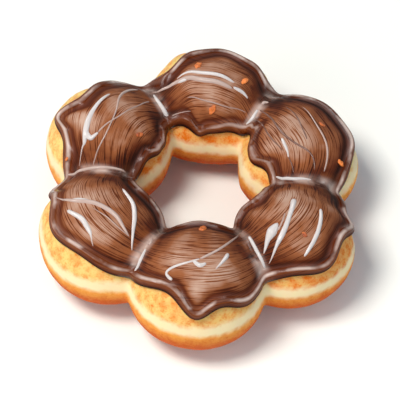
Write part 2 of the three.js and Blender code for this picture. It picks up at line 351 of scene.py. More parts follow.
# This attribute carries real browning and painted shade, per lobe and round the hole.
browner = add(tree, "ShaderNodeAttribute", attribute_name="browning").outputs["Fac"]
speckled = add(tree, MATH, [patch_share, pore_share], operation="ADD")
toasted = add(tree, MATH, [browner, LOBE_TOASTING_AND_SHADE, speckled], operation="MULTIPLY_ADD")
upper = add(tree, MIX, {0: toasted, 6: linear(UPPER_GOLD), 7: linear(UPPER_AMBER)},
            data_type="RGBA").outputs[2]
browning = add(tree, MAP_RANGE, [off_band, UNDERSIDE_FROM, UNDERSIDE_TO, 0.0, 1.0])
browned = add(tree, MATH, [toasted, UNDERSIDE_TOASTING, browning], operation="MULTIPLY_ADD")
lower = add(tree, MIX, {0: browned, 6: linear(LOWER_GOLD), 7: linear(LOWER_BROWN)},
            data_type="RGBA").outputs[2]
is_upper = add(tree, MATH, [off_band, 0.0], operation="GREATER_THAN")
crust = add(tree, MIX, {0: is_upper, 6: lower, 7: upper}, data_type="RGBA").outputs[2]
crust_colour = add(tree, MIX, {0: in_band, 6: crust, 7: linear(BAND_CREAM)}, data_type="RGBA").outputs[2]
pore_bump = add(tree, "ShaderNodeBump", {"Strength": 0.25, "Distance": PORE_DEPTH * MM, "Height": pores})
crust_roughness = add(tree, MAP_RANGE, [pores, 0.3, 0.7, 0.6, 0.78])
crust_shader = add(tree, "ShaderNodeBsdfPrincipled", {
    "Base Color": crust_colour,
    "Roughness": crust_roughness,
    "IOR": 1.25,
    "Subsurface Weight": 0.3,
    "Subsurface Radius": (2.5, 1.0, 0.3),
    "Subsurface Scale": MM,
    "Normal": pore_bump,
})
add(tree, "ShaderNodeOutputMaterial", [crust_shader])

dough = finish_piece("dough", dough_tree, {
    "Ring steps": DOUGH_RING_STEPS + 1,
    "Section steps": DOUGH_SECTION_STEPS + 1,
    "Swell": CRUST_SWELL,
    "Grain": CRUST_GRAIN,
    "Material": fried_dough,
})
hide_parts("dough_ring")
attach(dough, "root")

# Chocolate icing
# The fried ring is dipped top down in warm chocolate icing and turned over. The coat runs down in drips,
# half fills the creases, and sets with a rolled bead along both edges.
ICING_NECK = 0.51
ICING_SHARPNESS = 0.983
ICING_SINK = 0.35
COAT_THICKNESS = 1.1
EDGE_THICKNESS = 0.5
EDGE_ROUNDING = 0.8
BEAD_RISE = 1.0
BEAD_INSET = 1.5
BEAD_SPREAD = 1.2
GROOVE_DEPTH = 0.45
GROOVE_INSET = 3.5
GROOVE_SPREAD = 1.0
POOL_DEPTH = 0.8
POOL_SPREAD = 2.0
POOL_INSET = 5.0
OUTER_EDGE_HIGH = 54.0
OUTER_DRIPS = (
    (25, 24, 16.5), (45, 13, 12), (59, 26, 7), (84, 13, 10), (107, -13, 9), (120, 20, 5.5),
    (128, 16, 7), (148, -7, 8), (158, 16, 6), (181, 27, 9), (189, 7, 4), (207, 15, 12.5),
    (237, 14, 15.5), (270, 23, 7.5), (289, 21, 11.5), (302, 9, 10), (322, 24, 12.5), (343, 23, 8),
    (359, 26, 11.5),
)
INNER_EDGE_MEAN = 140.0
INNER_EDGE_SWING = 6.0
INNER_DRIPS = (
    (13, -6, 11), (33, -4, 12), (54, -10, 5.5), (77, 5, 16.5), (100, 9, 9), (132, 9, 8.5),
    (146, 5, 11), (177, 11, 13), (232, 17, 17.5), (307, 20, 12.5), (322, 7, 9), (334, -5, 15),
)
ICING_RING_STEPS = 600
COAT_STEPS = 96
UNDERSIDE_STEPS = 14
COAT_WAVE = 0.25
COAT_WAVE_SIZE = 8.0
SLOPE_STEP = 0.01  # ring angle in radians to either side, for the slope of an edge
TUCK_SHARE = 0.1  # share of the underside in which the coat turns in at each edge
ICING_WELD = 0.005

# Both edges of the icing at one ring angle: each drip is a ring angle, a run and a half-width in degrees.
icing_edges, given = start_tree("icing edges", {"Ring angle": "Float"}, {"Outer": "Float", "Inner": "Float"})
drip_runs = []
for drips in (OUTER_DRIPS, INNER_DRIPS):
    run_degrees = sum_swells(icing_edges, given["Ring angle"], drips)
    drip_runs.append(add(icing_edges, MATH, [run_degrees], operation="RADIANS"))
from_back = add(icing_edges, MATH, [given["Ring angle"], BACK_LOBE], operation="SUBTRACT")
lobe_turn = add(icing_edges, MATH, [from_back, LOBES], operation="MULTIPLY")
swing = add(icing_edges, MATH, [lobe_turn], operation="COSINE")
inner_rest = add(icing_edges, MATH, [swing, math.radians(INNER_EDGE_SWING), math.radians(INNER_EDGE_MEAN)],
                 operation="MULTIPLY_ADD")
add(icing_edges, "NodeGroupOutput", [
    add(icing_edges, MATH, [math.radians(OUTER_EDGE_HIGH), drip_runs[0]], operation="SUBTRACT"),
    add(icing_edges, MATH, [inner_rest, drip_runs[1]], operation="ADD"),
])

# Thickness of the coat at one place: blunt at the edge, then the bead, the groove behind it and the even
# coat, which is deeper where it pools in a crease.
coat_lift, given = start_tree(
    "coat lift",
    {"Ring angle": "Float", "Tilt": "Float"},
    {"Lift": "Float", "Inset": "Float", "From crease": "Float"},
)
section = add(coat_lift, GROUP, [given["Ring angle"], ICING_NECK, ICING_SHARPNESS],
              node_tree=ring_section).outputs
before = add(coat_lift, MATH, [given["Ring angle"], SLOPE_STEP], operation="SUBTRACT")
after = add(coat_lift, MATH, [given["Ring angle"], SLOPE_STEP], operation="ADD")
edges_before = add(coat_lift, GROUP, [before], node_tree=icing_edges).outputs
edges_here = add(coat_lift, GROUP, [given["Ring angle"]], node_tree=icing_edges).outputs
edges_after = add(coat_lift, GROUP, [after], node_tree=icing_edges).outputs
inset = None
for edge, inward in (("Outer", 1.0), ("Inner", -1.0)):
    climb = add(coat_lift, MATH, [edges_after[edge], edges_before[edge]], operation="SUBTRACT")
    climb_length = add(coat_lift, MATH, [climb, section["Half depth"]], operation="MULTIPLY")
    edge_cosine = add(coat_lift, MATH, [edges_here[edge]], operation="COSINE")
    edge_radius = add(coat_lift, MATH, [edge_cosine, section["Half depth"], section["Centre"]],
                      operation="MULTIPLY_ADD")
    step_length = add(coat_lift, MATH, [edge_radius, 2 * SLOPE_STEP], operation="MULTIPLY")
    slope = add(coat_lift, MATH, [climb_length, step_length], operation="DIVIDE")
    steep = add(coat_lift, MATH, [slope, slope, 1.0], operation="MULTIPLY_ADD")
    aslant = add(coat_lift, MATH, [steep], operation="INVERSE_SQRT")
    past = add(coat_lift, MATH, [given["Tilt"], edges_here[edge]], operation="SUBTRACT")
    inside = add(coat_lift, MATH, [past, inward], operation="MULTIPLY")
    level = add(coat_lift, MATH, [inside, section["Half depth"]], operation="MULTIPLY")
    distance = add(coat_lift, MATH, [level, aslant], operation="MULTIPLY")
    inset = add(coat_lift, MATH, [distance, inset or distance], operation="MINIMUM")
inset = add(coat_lift, MATH, [inset, 0.0], operation="MAXIMUM")
pooling = add(coat_lift, MAP_RANGE, [inset, 0.0, POOL_INSET, 0.0, POOL_DEPTH], **SMOOTH)
thickness = COAT_THICKNESS
for distance, middle, spread, rise in (
    (inset, BEAD_INSET, BEAD_SPREAD, BEAD_RISE),
    (inset, GROOVE_INSET, GROOVE_SPREAD, -GROOVE_DEPTH),
    (section["From crease"], 0.0, POOL_SPREAD, pooling),
):
    away = add(coat_lift, MATH, [distance, middle], operation="SUBTRACT")
    spreads = add(coat_lift, MATH, [away, spread], operation="DIVIDE")
    squared = add(coat_lift, MATH, [spreads, spreads], operation="MULTIPLY")
    fading = add(coat_lift, MATH, [squared, -1.0], operation="MULTIPLY")
    swell = add(coat_lift, MATH, [fading], operation="EXPONENT")
    thickness = add(coat_lift, MATH, [swell, rise, thickness], operation="MULTIPLY_ADD")
short = add(coat_lift, MAP_RANGE, [inset, 0.0, EDGE_ROUNDING, 1.0, 0.0])
short_squared = add(coat_lift, MATH, [short, short], operation="MULTIPLY")
rounding = add(coat_lift, MATH, [1.0, short_squared], operation="SUBTRACT")
rounded = add(coat_lift, MATH, [rounding], operation="SQRT")
add(coat_lift, "NodeGroupOutput", [
    add(coat_lift, MIX, {0: rounded, 2: EDGE_THICKNESS, 3: thickness}, data_type="FLOAT"),
    inset,
    section["From crease"],
])

# The coat is a grid of ring angle by section, which runs over the top from edge to edge and back underneath.
icing_tree, given = start_tree(
    "chocolate icing",
    {"Ring steps": "Int", "Coat steps": "Int", "Underside steps": "Int", "Wave": "Float",
     "Material": "Material"},
    {"Geometry": "Geometry"},
)
section_steps = add(icing_tree, MATH, [given["Coat steps"], given["Underside steps"]], operation="ADD")
section_length = add(icing_tree, MATH, [section_steps, given["Coat steps"]], operation="DIVIDE")
grid = add(icing_tree, "GeometryNodeMeshGrid", {
    "Size X": math.tau,
    "Size Y": section_length,
    "Vertices X": given["Ring steps"],
    "Vertices Y": add(icing_tree, MATH, [section_steps, 1.0], operation="ADD"),
})
flat = add(icing_tree, "ShaderNodeSeparateXYZ", [add(icing_tree, POSITION)])
ring_angle = flat.outputs["X"]
run = add(icing_tree, MATH, [section_length, 0.5, flat.outputs["Y"]], operation="MULTIPLY_ADD")
over = add(icing_tree, MAP_RANGE, [run, 0.0, 1.0, 0.0, math.pi])
over_cosine = add(icing_tree, MATH, [over], operation="COSINE")
across = add(icing_tree, MAP_RANGE, [over_cosine, 1.0, -1.0, 0.0, 1.0])
back = add(icing_tree, MAP_RANGE, [run, 1.0, section_length, 0.0, 1.0])
forward = add(icing_tree, MATH, [1.0, back], operation="SUBTRACT")
crossing = add(icing_tree, MATH, [across, forward], operation="MULTIPLY")
edges = add(icing_tree, GROUP, [ring_angle], node_tree=icing_edges).outputs
tilt = add(icing_tree, MIX, {0: crossing, 2: edges["Outer"], 3: edges["Inner"]}, data_type="FLOAT")
tucked_in = add(icing_tree, MAP_RANGE, [back, 0.0, TUCK_SHARE, 0.0, 1.0], **SMOOTH)
tucked_out = add(icing_tree, MAP_RANGE, [back, 1 - TUCK_SHARE, 1.0, 1.0, 0.0], **SMOOTH)
hidden = add(icing_tree, MATH, [tucked_in, tucked_out], operation="MULTIPLY")
coat = add(icing_tree, GROUP, [ring_angle, tilt], node_tree=coat_lift).outputs
under_coat = add(icing_tree, GROUP, [ring_angle, tilt, ICING_NECK, ICING_SHARPNESS, 0.0],
                 node_tree=ring_point)
ripples = add(icing_tree, NOISE, {
    "Vector": under_coat,
    "Scale": 1 / (COAT_WAVE_SIZE * MM),
    "Detail": 1.0,
})
ripple = add(icing_tree, MATH, [ripples, 0.5], operation="SUBTRACT")
waved = add(icing_tree, MATH, [ripple, given["Wave"], coat["Lift"]], operation="MULTIPLY_ADD")
lift = add(icing_tree, MIX, {0: hidden, 2: waved, 3: -ICING_SINK}, data_type="FLOAT")
neck = add(icing_tree, MIX, {0: hidden, 2: ICING_NECK, 3: DOUGH_NECK}, data_type="FLOAT")
sharpness = add(icing_tree, MIX, {0: hidden, 2: ICING_SHARPNESS, 3: DOUGH_SHARPNESS}, data_type="FLOAT")
skin = add(icing_tree, GROUP, [ring_angle, tilt, neck, sharpness, lift], node_tree=ring_point)
stored = grid
for name, value in (("inset", coat["Inset"]), ("crease", coat["From crease"])):
    stored = add(icing_tree, STORE, {"Geometry": stored, "Name": name, "Value": value},
                 data_type="FLOAT", domain="POINT")
stored = add(icing_tree, STORE, {
    "Geometry": stored,
    "Name": "flow",
    "Value": add(icing_tree, "ShaderNodeCombineXYZ", [
        add(icing_tree, MATH, [ring_angle], operation="COSINE"),
        add(icing_tree, MATH, [ring_angle], operation="SINE"),
        tilt,
    ]),
}, data_type="FLOAT_VECTOR", domain="POINT")
wrapped = add(icing_tree, SET_POSITION, {"Geometry": stored, "Position": skin})
closed = add(icing_tree, "GeometryNodeMergeByDistance", {"Geometry": wrapped, "Distance": ICING_WELD * MM})
smooth = add(icing_tree, "GeometryNodeSetShadeSmooth", {"Geometry": closed})
real = add(icing_tree, "GeometryNodeRealizeInstances", [smooth])
add(icing_tree, "NodeGroupOutput", [
    add(icing_tree, "GeometryNodeSetMaterial", {"Geometry": real, "Material": given["Material"]}),
])

# Milk chocolate icing: set sugar and fat. The coat is pale and matt on top of each lobe, as painted sheen,
# and deep brown and glossy at the rims and in the creases, as painted shade. It is painted darker towards
# the hole, and each lobe is painted lighter on its side towards the front left and darker on its side
# towards the back right, as light from the front left. Fine streaks show how it flowed round the ring, and
# milky colour painted in the creases and along the bead stands for highlights.
CHOCOLATE_DEEP = "#260800"
CHOCOLATE_DARK = "#582206"
CHOCOLATE_MID = "#8C5230"
CHOCOLATE_PALE = "#B69684"
CARAMEL = "#8A4A1E"
# Painted highlight: a milky colour laid in the creases and along the bead's crest.
MILKY_HIGHLIGHT = "#D2BCB2"
STREAK_LENGTH = 9.0
STREAK_WIDTH = 0.25
STREAK_DEPTH = 0.06
CLOUD_SIZE = 7.0
CARAMEL_PATCH_SIZE = 3.5
# Tone of the coat: painted shade at the rims and in the creases, painted sheen on top of each lobe.
RIM_REACH = (1.2, 8.5)
CREASE_REACH = (1.0, 9.5)
HOLE_PAINTED_SHADE = 0.7
COAT_SHADE_AND_SHEEN_TONES = (0.3, 0.72)  # at a rim or crease, and on top of a lobe
# Painted light: each lobe is coloured lighter on its side towards the front left and darker on its side
# towards the back right.
SHADED_SIDE = (0.8, 0.6, 0.0)
PAINTED_LIGHT_SLANT = 0.3
# Painted highlight line along the bead, stronger on the outside than towards the hole.
HIGHLIGHT_LINE_INSET = 2.0
HIGHLIGHT_LINE_REACH = 0.6
HIGHLIGHT_LINE_SHARES = (0.75, 0.45)  # on the outside and towards the hole
ICING_ROUGHNESS = (0.9, 0.2)  # on top of a lobe and where it shines
# Painted shade at the icing's edge and in the groove behind the bead, and a painted highlight on the bead.
RIM_SHADE_AND_HIGHLIGHT_TONES = (
    # millimetres from the edge, reach, change of tone
    (0.0, 0.8, -0.6), (BEAD_INSET, 0.9, 0.12), (GROOVE_INSET, 0.9, -0.18),
)

chocolate, tree = start_material("milk_chocolate_icing")
flow = add(tree, "ShaderNodeAttribute", attribute_name="flow").outputs["Vector"]
inset = add(tree, "ShaderNodeAttribute", attribute_name="inset").outputs["Fac"]
crease = add(tree, "ShaderNodeAttribute", attribute_name="crease").outputs["Fac"]
mean_radius = sum(RING_RADIUS) / LOBES
mean_depth = sum(LOBE_HALF_DEPTH) / LOBES
streak_scale = (mean_radius / STREAK_LENGTH, mean_radius / STREAK_LENGTH, mean_depth / STREAK_WIDTH)
streak_place = add(tree, VECTOR_MATH, [flow, streak_scale], operation="MULTIPLY")
streaks = add(tree, NOISE, {"Vector": streak_place, "Scale": 1.0, "Detail": 2.0})
streak_share = add(tree, MAP_RANGE, [streaks, 0.38, 0.48, -0.34, 0.07])
coords = add(tree, "ShaderNodeTexCoord")
icing_place = add(tree, VECTOR_MATH, {0: coords.outputs["Object"], "Scale": 1 / MM}, operation="SCALE")
clouds = add(tree, NOISE, {"Vector": icing_place, "Scale": 1 / CLOUD_SIZE, "Detail": 3.0})
cloud_share = add(tree, MAP_RANGE, [clouds, 0.3, 0.7, -0.16, 0.16])
mottle = add(tree, MATH, [streak_share, cloud_share], operation="ADD")
from_rim = add(tree, MAP_RANGE, [inset, *RIM_REACH, 0.0, 1.0], **SMOOTH)
from_crease = add(tree, MAP_RANGE, [crease, *CREASE_REACH, 0.0, 1.0], **SMOOTH)
tilt = add(tree, "ShaderNodeSeparateXYZ", [flow]).outputs["Z"]
# Painted shade: the coat is made darker on the side towards the hole.
hole_painted_shade = add(tree, MAP_RANGE, [tilt, math.radians(85), math.radians(135), 1.0, HOLE_PAINTED_SHADE], **SMOOTH)
# The dome mask paints shade near rims and creases and sheen on the top of each lobe.
on_top = add(tree, MATH, [from_rim, hole_painted_shade], operation="MULTIPLY")
dome = add(tree, MATH, [on_top, from_crease], operation="MULTIPLY")
shade_and_sheen_tone = add(tree, MAP_RANGE, [dome, 0.0, 1.0, *COAT_SHADE_AND_SHEEN_TONES])
# Painted light from the front left: lighter on that side of each lobe, darker on the far side.
toward_shaded_side = add(tree, VECTOR_MATH, [flow, SHADED_SIDE], operation="DOT_PRODUCT").outputs["Value"]
off_top = add(tree, MATH, [tilt, math.pi / 2], operation="SUBTRACT")
painted_slant = add(tree, MATH, [toward_shaded_side, PAINTED_LIGHT_SLANT], operation="MULTIPLY")
rim_kept = add(tree, MAP_RANGE, [inset, 1.5, 4.5, 0.15, 1.0])
slanted = add(tree, MATH, [off_top, rim_kept], operation="MULTIPLY")
painted_light_tone = add(tree, MATH, [slanted, painted_slant, shade_and_sheen_tone], operation="MULTIPLY_ADD")
smoothing = add(tree, MAP_RANGE, [from_rim, 0.0, 0.7, 0.25, 1.0])
tone_share = add(tree, MATH, [mottle, smoothing, painted_light_tone], operation="MULTIPLY_ADD")
# Painted shade at the edge and groove, painted highlight on the bead.
for middle, rim_reach, change in RIM_SHADE_AND_HIGHLIGHT_TONES:
    away = add(tree, MATH, [inset, middle], operation="SUBTRACT")
    distance = add(tree, MATH, [away], operation="ABSOLUTE")
    changed = add(tree, MAP_RANGE, [distance, 0.0, rim_reach, change, 0.0], **SMOOTH)
    tone_share = add(tree, MATH, [tone_share, changed], operation="ADD")
tone = add(tree, "ShaderNodeValToRGB", [tone_share])
tone.color_ramp.elements[0].position = 0.05
tone.color_ramp.elements[0].color = linear(CHOCOLATE_DEEP)
tone.color_ramp.elements[1].position = 0.98
tone.color_ramp.elements[1].color = linear(CHOCOLATE_PALE)
tone.color_ramp.elements.new(0.34).color = linear(CHOCOLATE_DARK)
tone.color_ramp.elements.new(0.64).color = linear(CHOCOLATE_MID)
caramel_spots = add(tree, NOISE, {"Vector": icing_place, "Scale": 1 / CARAMEL_PATCH_SIZE})
off_dome = add(tree, MAP_RANGE, [from_crease, 0.0, 0.8, 0.5, 0.0])
spot_share = add(tree, MAP_RANGE, [caramel_spots, 0.46, 0.66, 0.0, 1.0])
off_bead = add(tree, MATH, [off_dome, from_rim], operation="MULTIPLY")
caramel_share = add(tree, MATH, [spot_share, off_bead], operation="MULTIPLY")
warmed = add(tree, MIX, {0: caramel_share, 6: tone, 7: linear(CARAMEL)}, data_type="RGBA").outputs[2]
# Painted highlights: milky colour in the creases and along the bead's crest, where gloss would shine.
crease_highlight = add(tree, MAP_RANGE, [crease, 0.2, 2.0, 0.55, 0.0], **SMOOTH)
off_edge = add(tree, MAP_RANGE, [inset, 1.6, 4.0, 0.0, 1.0], **SMOOTH)
crease_highlight_band = add(tree, MATH, [crease_highlight, off_edge], operation="MULTIPLY")
patchy = add(tree, MAP_RANGE, [clouds, 0.42, 0.58, 0.1, 1.0])
off_crest = add(tree, MATH, [inset, HIGHLIGHT_LINE_INSET], operation="SUBTRACT")
crest_distance = add(tree, MATH, [off_crest], operation="ABSOLUTE")
highlight_line_share = add(tree, MAP_RANGE, [tilt, math.radians(95), math.radians(120), *HIGHLIGHT_LINE_SHARES])
crest_highlight = add(tree, MAP_RANGE, [crest_distance, 0.0, HIGHLIGHT_LINE_REACH, highlight_line_share, 0.0], **SMOOTH)
glazed = add(tree, MATH, [crease_highlight_band, crest_highlight], operation="MAXIMUM")
milkiness = add(tree, MATH, [glazed, patchy], operation="MULTIPLY")
icing_colour = add(tree, MIX, {0: milkiness, 6: warmed, 7: linear(MILKY_HIGHLIGHT)}, data_type="RGBA").outputs[2]
crest_gloss = add(tree, MAP_RANGE, [crest_distance, 0.4, 1.6, 1.0, 0.0], **SMOOTH)
crease_gloss = add(tree, MAP_RANGE, [crease, 0.6, 2.6, 1.0, 0.0], **SMOOTH)
gloss = add(tree, MATH, [crest_gloss, crease_gloss], operation="MAXIMUM")
icing_roughness = add(tree, MAP_RANGE, [gloss, 0.0, 1.0, *ICING_ROUGHNESS])
streak_bump = add(tree, "ShaderNodeBump", {
    "Strength": 0.2, "Distance": STREAK_DEPTH * MM, "Height": streaks,
})
icing_shader = add(tree, "ShaderNodeBsdfPrincipled", {
    "Base Color": icing_colour,
    "Roughness": icing_roughness,
    "IOR": 1.32,
    "Normal": streak_bump,
})
add(tree, "ShaderNodeOutputMaterial", [icing_shader])

icing = finish_piece("icing", icing_tree, {
    "Ring steps": ICING_RING_STEPS + 1,
    "Coat steps": COAT_STEPS,
    "Underside steps": UNDERSIDE_STEPS,
    "Wave": COAT_WAVE,
    "Material": chocolate,
})
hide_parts("chocolate_icing")
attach(icing, "root")

# Drizzled threads
# Glaze let fall from a spoon over the set coat: white where it is thick, milky where it ran out thin, and
# some strings of plain chocolate. A thread swells where the spoon slowed down and lies half sunk in the
# icing. The white of the thick threads is partly painted highlight, and the white and milky threads laid
# along the creases are painted highlights there. A point of a route is a ring angle, a tilt and a radius.
WHITE_THREADS = (
    ((141, 80, 0.3), (152, 80, 0.6), (163, 78, 0.85), (168, 76, 0.5), (170, 73, 0.22), (177, 62, 0.1)),
    ((164, 78, 0.7), (166, 83, 0.7), (163, 90, 0.25)),
    ((107, 87, 0.2), (95, 89, 0.5), (84, 90, 0.55), (77, 92, 0.25)),
    ((77, 97, 0.3), (73, 97, 0.55), (68, 96, 0.2)),
    ((108, 91, 0.25), (104, 94, 0.6), (100, 95, 0.25)),
    ((30, 104, 0.3), (25, 105, 0.42), (15, 105, 0.2)),
    ((204, 62, 0.45), (211, 70, 0.7), (217, 69, 0.6), (220, 66, 0.25), (223, 60, 0.12)),
    ((200, 117, 0.35), (214, 119, 0.65), (224, 110, 0.68), (231, 94, 0.4), (236, 76, 0.15)),
    ((200, 68, 0.25), (202, 76, 0.5), (205, 84, 0.25)),
    ((271, 84, 0.25), (261, 76, 0.35), (257, 68, 0.35), (260, 62, 0.5)),
    ((268, 82, 0.4), (271, 78, 0.65), (274, 80, 0.3)),
    ((285, 89, 0.3), (284, 85, 0.55), (278, 74, 0.15)),
    ((338, 98, 0.85), (326, 92, 0.62), (316, 83, 0.75), (310, 75, 0.4), (304, 61, 0.1)),
    ((319, 95, 0.4), (314, 92, 1.4), (309, 86, 0.7), (304, 74, 0.15)),
    ((339, 72, 0.4), (331, 66, 0.58), (322, 59, 0.55), (317, 54, 0.3)),
    ((303, 104, 0.4), (302, 80, 0.5), (302, 57, 0.3)),
    ((120, 76, 0.25), (120, 91, 0.5), (119, 111, 0.6), (118, 116, 0.3)),
    ((60, 91, 0.3), (60, 104, 0.5), (61, 117, 0.25)),
    ((4, 119, 0.3), (1, 100, 0.5), (1, 87, 0.4), (1, 75, 0.2)),
    ((242, 55, 0.3), (242, 70, 0.5), (241, 85, 0.25)),
)
MILKY_THREADS = (
    ((120, 70, 0.15), (110, 88, 0.5), (98, 96, 0.75), (87, 98, 0.75), (77, 99, 0.45)),
    ((195, 53, 0.15), (201, 70, 0.5), (208, 88, 0.68), (219, 96, 0.65), (231, 89, 0.2)),
    ((163, 90, 0.25), (150, 102, 0.22), (136, 102, 0.2), (125, 91, 0.2)),
    ((125, 64, 0.25), (135, 81, 0.4), (148, 97, 0.22), (163, 97, 0.22), (178, 80, 0.15)),
    ((43, 66, 0.15), (27, 69, 0.25), (15, 67, 0.28), (6, 65, 0.2)),
    ((104, 113, 0.15), (89, 119, 0.2), (75, 118, 0.16), (65, 108, 0.12)),
    ((116, 120, 0.2), (103, 127, 0.12)),
    ((209, 83, 0.12), (218, 89, 0.2), (231, 89, 0.15)),
    ((298, 115, 0.2), (283, 96, 0.35), (271, 84, 0.35)),
    ((326, 97, 0.2), (316, 89, 0.28)),
    ((179, 41, 0.3), (179, 66, 0.45), (178, 98, 0.4), (177, 124, 0.25)),
    ((60, 81, 0.3), (60, 76, 0.5), (58, 73, 0.25)),
    ((241, 91, 0.25), (241, 95, 0.4), (240, 102, 0.2)),
)
CHOCOLATE_STRINGS = (
    ((58, 103, 0.2), (40, 112, 0.2), (21, 109, 0.15)),
    ((59, 90, 0.25), (40, 101, 0.3), (24, 97, 0.28), (14, 83, 0.25), (6, 76, 0.18)),
    ((48, 77, 0.15), (34, 82, 0.2), (23, 85, 0.18)),
    ((15, 105, 0.18), (5, 99, 0.15)),
)
THREAD_STEPS = 72
THREAD_SIDES = 14
THREAD_SINK = 0.3
THREAD_TIP = 0.06
TIP_SHARPNESS = 0.98
MILK_SHARES = (1.0, 0.5, 0.12)  # of white threads, milky threads and chocolate strings

thread_tree, given = start_tree(
    "drizzled threads",
    {"Routes": "Geometry", "Steps": "Int", "Sides": "Int", "Sink": "Float", "Tip": "Float",
     "Material": "Material"},
    {"Geometry": "Geometry"},
)
routes = add(thread_tree, "GeometryNodeMeshToCurve", [given["Routes"]])
rounded = add(thread_tree, "GeometryNodeCurveSplineType", [routes], spline_type="CATMULL_ROM")
spaced = add(thread_tree, "GeometryNodeResampleCurve", {"Curve": rounded, "Count": given["Steps"]},
             mode="COUNT")
flat = add(thread_tree, "ShaderNodeSeparateXYZ", [add(thread_tree, POSITION)]).outputs
thickness = add(thread_tree, "GeometryNodeInputNamedAttribute", {"Name": "thickness"}, data_type="FLOAT")
along = add(thread_tree, "GeometryNodeSplineParameter").outputs["Factor"]
left = add(thread_tree, MATH, [1.0, along], operation="SUBTRACT")
to_tip = add(thread_tree, MATH, [along, left], operation="MINIMUM")
short = add(thread_tree, MAP_RANGE, [to_tip, 0.0, given["Tip"], TIP_SHARPNESS, 0.0])
short_squared = add(thread_tree, MATH, [short, short], operation="MULTIPLY")
rounding = add(thread_tree, MATH, [1.0, short_squared], operation="SUBTRACT")
tip = add(thread_tree, MATH, [rounding], operation="SQRT")
string = add(thread_tree, MATH, [tip, thickness], operation="MULTIPLY")
marked = add(thread_tree, STORE, {
    "Geometry": spaced, "Name": "string", "Value": string,
}, data_type="FLOAT", domain="POINT")
strung = add(thread_tree, "GeometryNodeInputNamedAttribute", {"Name": "string"}, data_type="FLOAT")
coat = add(thread_tree, GROUP, [flat["X"], flat["Y"]], node_tree=coat_lift).outputs
sunk = add(thread_tree, MATH, [strung, given["Sink"]], operation="MULTIPLY")
lift = add(thread_tree, MATH, [coat["Lift"], sunk], operation="SUBTRACT")
skin = add(thread_tree, GROUP, [flat["X"], flat["Y"], ICING_NECK, ICING_SHARPNESS, lift],
           node_tree=ring_point)
laid = add(thread_tree, SET_POSITION, {"Geometry": marked, "Position": skin})
profile = add(thread_tree, "GeometryNodeCurvePrimitiveCircle", {"Resolution": given["Sides"], "Radius": MM},
              mode="RADIUS")
strings = add(thread_tree, "GeometryNodeCurveToMesh", {
    "Curve": laid, "Profile Curve": profile, "Scale": strung, "Fill Caps": True,
})
smooth = add(thread_tree, "GeometryNodeSetShadeSmooth", {"Geometry": strings})
real = add(thread_tree, "GeometryNodeRealizeInstances", [smooth])
add(thread_tree, "NodeGroupOutput", [
    add(thread_tree, "GeometryNodeSetMaterial", {"Geometry": real, "Material": given["Material"]}),
])

# Sugar glaze: wet-looking, almost white in a thick thread, a white that is partly painted highlight. A thin
# or milky one takes the chocolate's colour.
GLAZE_WHITE_AND_HIGHLIGHT = "#C8C0BE"
GLAZE_MILKY = "#B3998F"
STRING_BROWN = "#532614"

glaze, tree = start_material("sugar_glaze")
string = add(tree, "ShaderNodeAttribute", attribute_name="string").outputs["Fac"]
milk = add(tree, "ShaderNodeAttribute", attribute_name="milk").outputs["Fac"]
# The white grows with a thread's thickness, partly as the glaze's colour and partly as painted highlight.
thick = add(tree, MAP_RANGE, [string, 0.1, 0.35, 0.5, 1.0])
whiteness_and_highlight = add(tree, MATH, [milk, thick], operation="MULTIPLY")
glaze_colour = add(tree, "ShaderNodeValToRGB", [whiteness_and_highlight])
glaze_colour.color_ramp.elements[0].color = linear(STRING_BROWN)
glaze_colour.color_ramp.elements[1].color = linear(GLAZE_WHITE_AND_HIGHLIGHT)
glaze_colour.color_ramp.elements.new(0.45).color = linear(GLAZE_MILKY)
glaze_shader = add(tree, "ShaderNodeBsdfPrincipled", {
    "Base Color": glaze_colour, "Roughness": 0.2, "IOR": 1.46,
})
add(tree, "ShaderNodeOutputMaterial", [glaze_shader])

route_points = []
route_edges = []
route_widths = []
route_milk = []
for routes, milkiness in zip((WHITE_THREADS, MILKY_THREADS, CHOCOLATE_STRINGS), MILK_SHARES):
    for route in routes:
        first = len(route_points)
        route_points += [(math.radians(turn), math.radians(lean), 0.0) for turn, lean, _ in route]
        route_edges += [(first + step, first + step + 1) for step in range(len(route) - 1)]
        route_widths += [width for _, _, width in route]
        route_milk += [milkiness] * len(route)
thread_routes = bpy.data.meshes.new("thread_routes")
thread_routes.from_pydata(route_points, route_edges, [])
thread_routes.attributes.new("thickness", "FLOAT", "POINT").data.foreach_set("value", route_widths)
thread_routes.attributes.new("milk", "FLOAT", "POINT").data.foreach_set("value", route_milk)

threads = finish_piece("threads", thread_tree, {
    "Steps": THREAD_STEPS,
    "Sides": THREAD_SIDES,
    "Sink": THREAD_SINK,
    "Tip": THREAD_TIP,
    "Material": glaze,
}, thread_routes)
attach(threads, "root")

# Crust flecks
# Bits of fried crust that came off in the icing bowl and set on the coat. They are one to three millimetres
# long, craggy, half sunk and toasted. Each has a ring angle, a tilt, a size and its share of orange.
FLECKS = (
    (96, 80, 1.2, 0.6), (73, 84, 1.2, 1.0), (87, 126, 1.3, 0.6), (151, 125, 1.0, 0.3), (174, 51, 0.7, 0.5),
    (12, 50, 1.4, 1.0), (30, 63, 0.9, 0.4), (323, 70, 0.9, 0.3), (272, 124, 1.5, 0.6),
)
FLECK_SEED = 4
FLECK_PROPORTIONS = (1.0, 0.6, 0.3)
CRAG_SIZE = 0.9
CRAG_HEIGHT = 0.9

